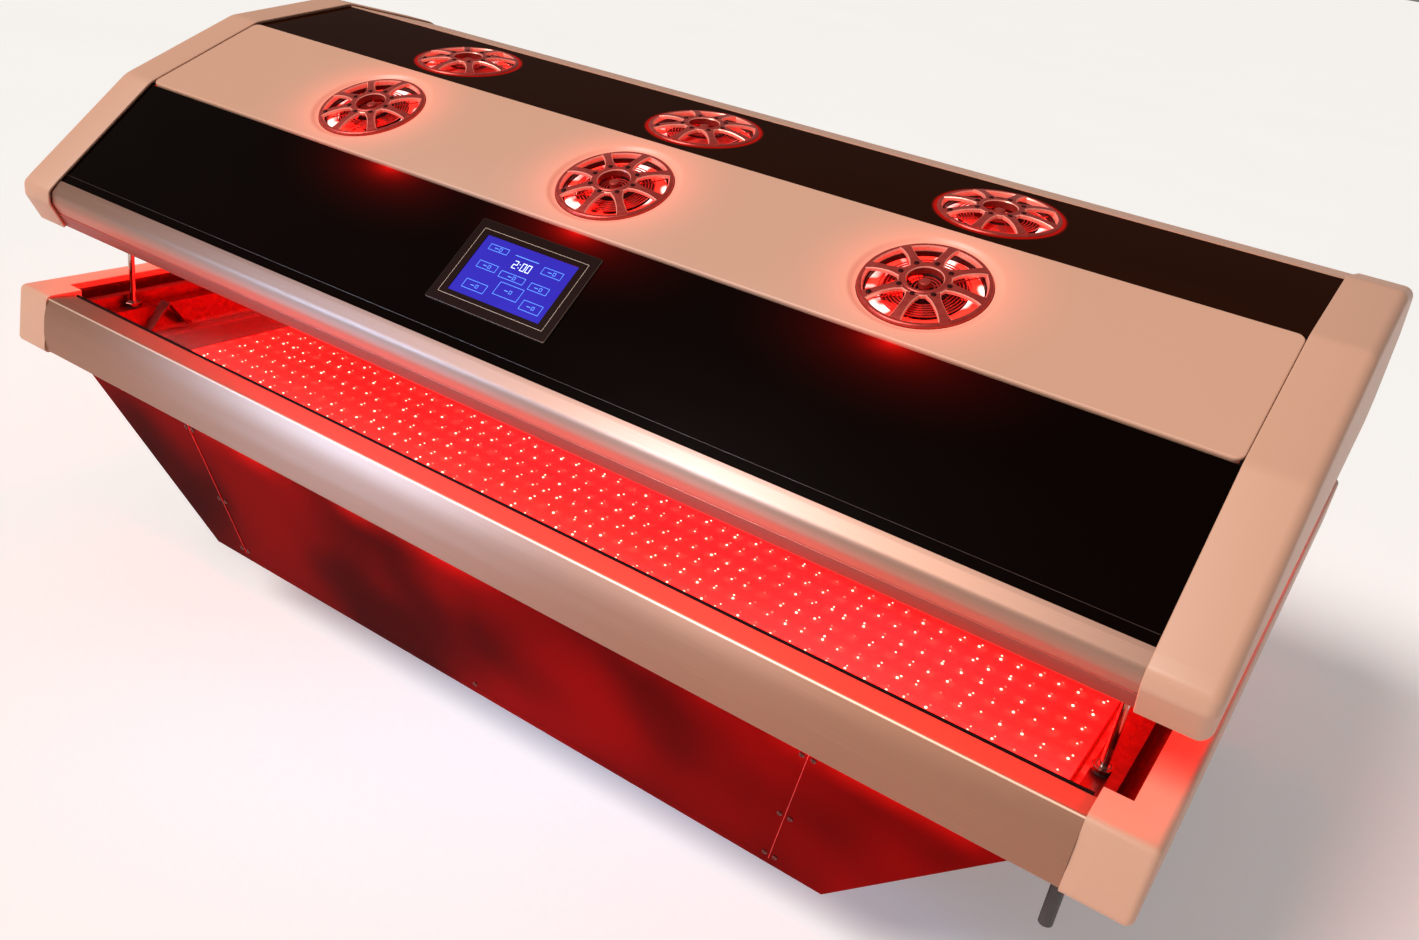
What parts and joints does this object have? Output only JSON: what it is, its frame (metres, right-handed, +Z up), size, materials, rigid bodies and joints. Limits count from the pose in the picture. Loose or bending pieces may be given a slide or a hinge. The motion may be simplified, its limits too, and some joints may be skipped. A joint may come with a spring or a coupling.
{
  "type": "red light therapy bed",
  "caption": "Full-body red light bed: a lamp-lined bed on a tapered base and an arched canopy with fan vents and a touchscreen, lifting on telescopic columns.",
  "frame": {"origin": "on the floor under the middle of the bed", "axes": "+X along the bed, -Y towards the user at the touchscreen side, +Z up"},
  "size_m": [2.2, 1.4556, 1.0904],
  "materials": {
    "cream_moulding": "satin moulding",
    "brushed_aluminium": "brushed along its length",
    "black_glass": "gloss black glass",
    "polished_steel": "polished",
    "polished_grille": "chromed plastic",
    "coated_steel": "satin coat",
    "frame_alloy": "coated",
    "lamp_board": "lit red board",
    "clear_acrylic": "clear",
    "gloss_hull": "high gloss",
    "black_plastic": "satin",
    "screen_bezel": "gloss",
    "screen_display": "lit display",
    "foot_rubber": "matte"
  },
  "bodies": {
    "bed": {"base_frame": "frame_alloy", "base_front_panel": "gloss_hull", "base_hull": "gloss_hull", "bed_acrylic": "clear_acrylic", "bed_end_cap_left": "cream_moulding", "bed_end_cap_right": "cream_moulding", "bed_front_rail": "brushed_aluminium", "bed_led_board": "lamp_board", "bed_pan": "coated_steel", "bed_rear_rail": "brushed_aluminium", "end_channel_left": "coated_steel", "end_channel_right": "coated_steel", "foot_front_left": "foot_rubber", "foot_front_right": "foot_rubber", "foot_rear_left": "foot_rubber", "foot_rear_right": "foot_rubber", "lift_column_front_left": "coated_steel", "lift_column_front_right": "coated_steel", "lift_column_rear_left": "coated_steel", "lift_column_rear_right": "coated_steel"},
    "canopy": {"canopy_acrylic": "clear_acrylic", "canopy_end_cap_left": "cream_moulding", "canopy_end_cap_right": "cream_moulding", "canopy_front_rail": "brushed_aluminium", "canopy_led_board": "lamp_board", "canopy_rear_rail": "brushed_aluminium", "canopy_rib_left": "frame_alloy", "canopy_rib_right": "frame_alloy", "fan_housing_lower_left": "black_plastic", "fan_housing_lower_middle": "black_plastic", "fan_housing_lower_right": "black_plastic", "fan_housing_upper_left": "black_plastic", "fan_housing_upper_middle": "black_plastic", "fan_housing_upper_right": "black_plastic", "front_glass_panel": "black_glass", "lift_rod_front_left": "polished_steel", "lift_rod_front_right": "polished_steel", "lift_rod_rear_left": "polished_steel", "lift_rod_rear_right": "polished_steel", "rear_cover": "cream_moulding", "top_glass_panel": "black_glass", "touchscreen_bezel": "screen_bezel", "touchscreen_display": "screen_display", "vent_grille_lower_left": "polished_grille", "vent_grille_lower_middle": "polished_grille", "vent_grille_lower_right": "polished_grille", "vent_grille_upper_left": "polished_grille", "vent_grille_upper_middle": "polished_grille", "vent_grille_upper_right": "polished_grille", "vent_panel": "cream_moulding"},
    "stage_front_left": {"lift_stage_front_left": "coated_steel"},
    "stage_front_right": {"lift_stage_front_right": "coated_steel"},
    "stage_rear_left": {"lift_stage_rear_left": "coated_steel"},
    "stage_rear_right": {"lift_stage_rear_right": "coated_steel"},
    "rotor_lower_left": {"fan_rotor_lower_left": "black_plastic"},
    "rotor_lower_middle": {"fan_rotor_lower_middle": "black_plastic"},
    "rotor_lower_right": {"fan_rotor_lower_right": "black_plastic"},
    "rotor_upper_left": {"fan_rotor_upper_left": "black_plastic"},
    "rotor_upper_middle": {"fan_rotor_upper_middle": "black_plastic"},
    "rotor_upper_right": {"fan_rotor_upper_right": "black_plastic"}
  },
  "joints": [
    {"name": "canopy_lift", "type": "slide", "parent": "bed", "child": "canopy", "axis": [0, 0, 1], "range_m": [-0.12, 0.22]},
    {"name": "stage_slide_front_left", "type": "slide", "parent": "bed", "child": "stage_front_left", "axis": [0, 0, 1], "range_m": [-0.06, 0.11]},
    {"name": "stage_slide_front_right", "type": "slide", "parent": "bed", "child": "stage_front_right", "axis": [0, 0, 1], "range_m": [-0.06, 0.11]},
    {"name": "stage_slide_rear_left", "type": "slide", "parent": "bed", "child": "stage_rear_left", "axis": [0, 0, 1], "range_m": [-0.06, 0.11]},
    {"name": "stage_slide_rear_right", "type": "slide", "parent": "bed", "child": "stage_rear_right", "axis": [0, 0, 1], "range_m": [-0.06, 0.11]},
    {"name": "fan_spin_lower_left", "type": "hinge", "parent": "canopy", "child": "rotor_lower_left", "pos_m": [-0.55701, -0.35874, 0.99448], "axis": [0, -0.4083, 0.9128], "continuous": true},
    {"name": "fan_spin_lower_middle", "type": "hinge", "parent": "canopy", "child": "rotor_lower_middle", "pos_m": [-0.011, -0.35874, 0.99448], "axis": [0, -0.4083, 0.9128], "continuous": true},
    {"name": "fan_spin_lower_right", "type": "hinge", "parent": "canopy", "child": "rotor_lower_right", "pos_m": [0.53501, -0.35874, 0.99448], "axis": [0, -0.4083, 0.9128], "continuous": true},
    {"name": "fan_spin_upper_left", "type": "hinge", "parent": "canopy", "child": "rotor_upper_left", "pos_m": [-0.55701, -0.11957, 1.06649], "axis": [0, -0.153, 0.9882], "continuous": true},
    {"name": "fan_spin_upper_middle", "type": "hinge", "parent": "canopy", "child": "rotor_upper_middle", "pos_m": [-0.011, -0.11957, 1.06649], "axis": [0, -0.153, 0.9882], "continuous": true},
    {"name": "fan_spin_upper_right", "type": "hinge", "parent": "canopy", "child": "rotor_upper_right", "pos_m": [0.53501, -0.11957, 1.06649], "axis": [0, -0.153, 0.9882], "continuous": true}
  ],
  "couplings": [
    {"joint": "stage_slide_front_left", "follows": "canopy_lift", "ratio": 0.5},
    {"joint": "stage_slide_front_right", "follows": "canopy_lift", "ratio": 0.5},
    {"joint": "stage_slide_rear_left", "follows": "canopy_lift", "ratio": 0.5},
    {"joint": "stage_slide_rear_right", "follows": "canopy_lift", "ratio": 0.5}
  ]
}
